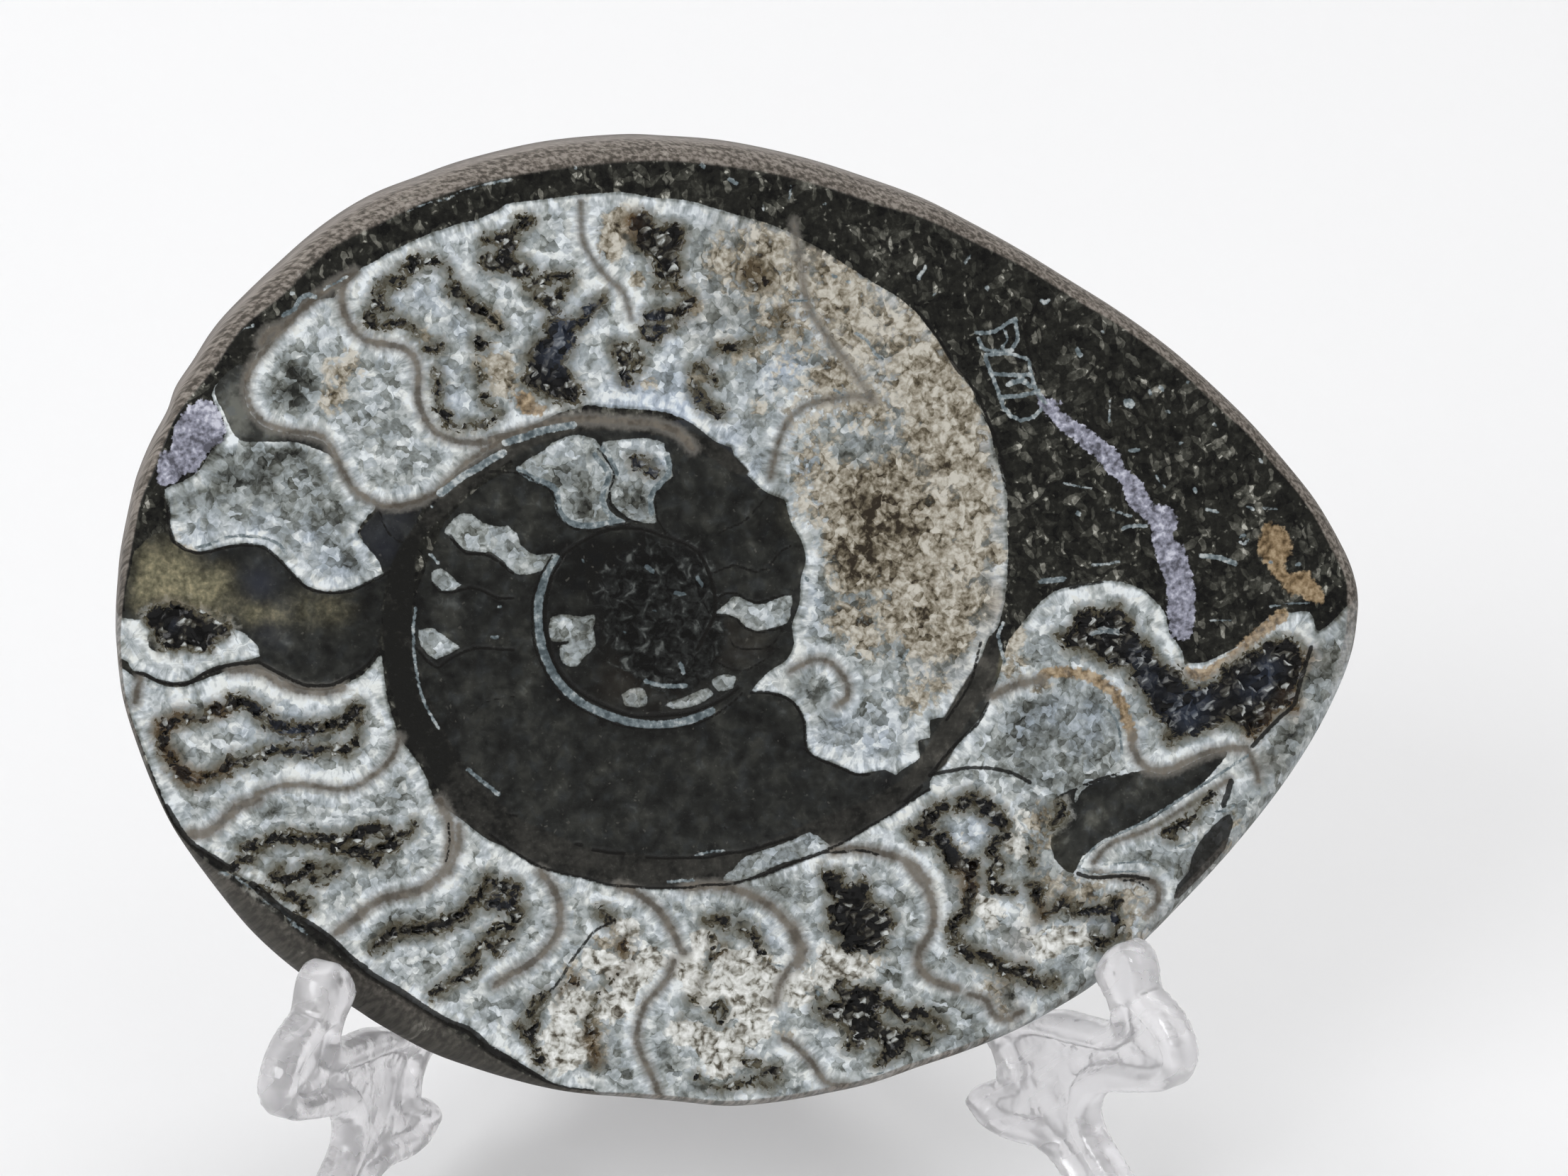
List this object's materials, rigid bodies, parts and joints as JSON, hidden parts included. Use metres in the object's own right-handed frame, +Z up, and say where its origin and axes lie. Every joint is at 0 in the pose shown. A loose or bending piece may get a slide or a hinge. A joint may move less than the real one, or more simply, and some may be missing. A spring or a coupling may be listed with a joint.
{
  "type": "fossil ammonite",
  "caption": "Polished stone slab cut through a coiled fossil with crystal-filled chambers, leaning in a clear plastic display stand.",
  "frame": {"origin": "centre of the bounding box, on the table that the stand's feet rest on", "axes": "+Z up, -Y towards the viewer of the polished face, +X to that viewer's right"},
  "size_m": [0.1026, 0.0686, 0.0925],
  "materials": {
    "fossil_slab": "polished face, ground matte rim",
    "stand_plastic": "clear, glossy, moulded"
  },
  "bodies": {
    "root": {"fossil_slab": "fossil_slab", "stand_left_frame": "stand_plastic", "stand_right_frame": "stand_plastic", "stand_rear_post": "stand_plastic"}
  },
  "joints": []
}
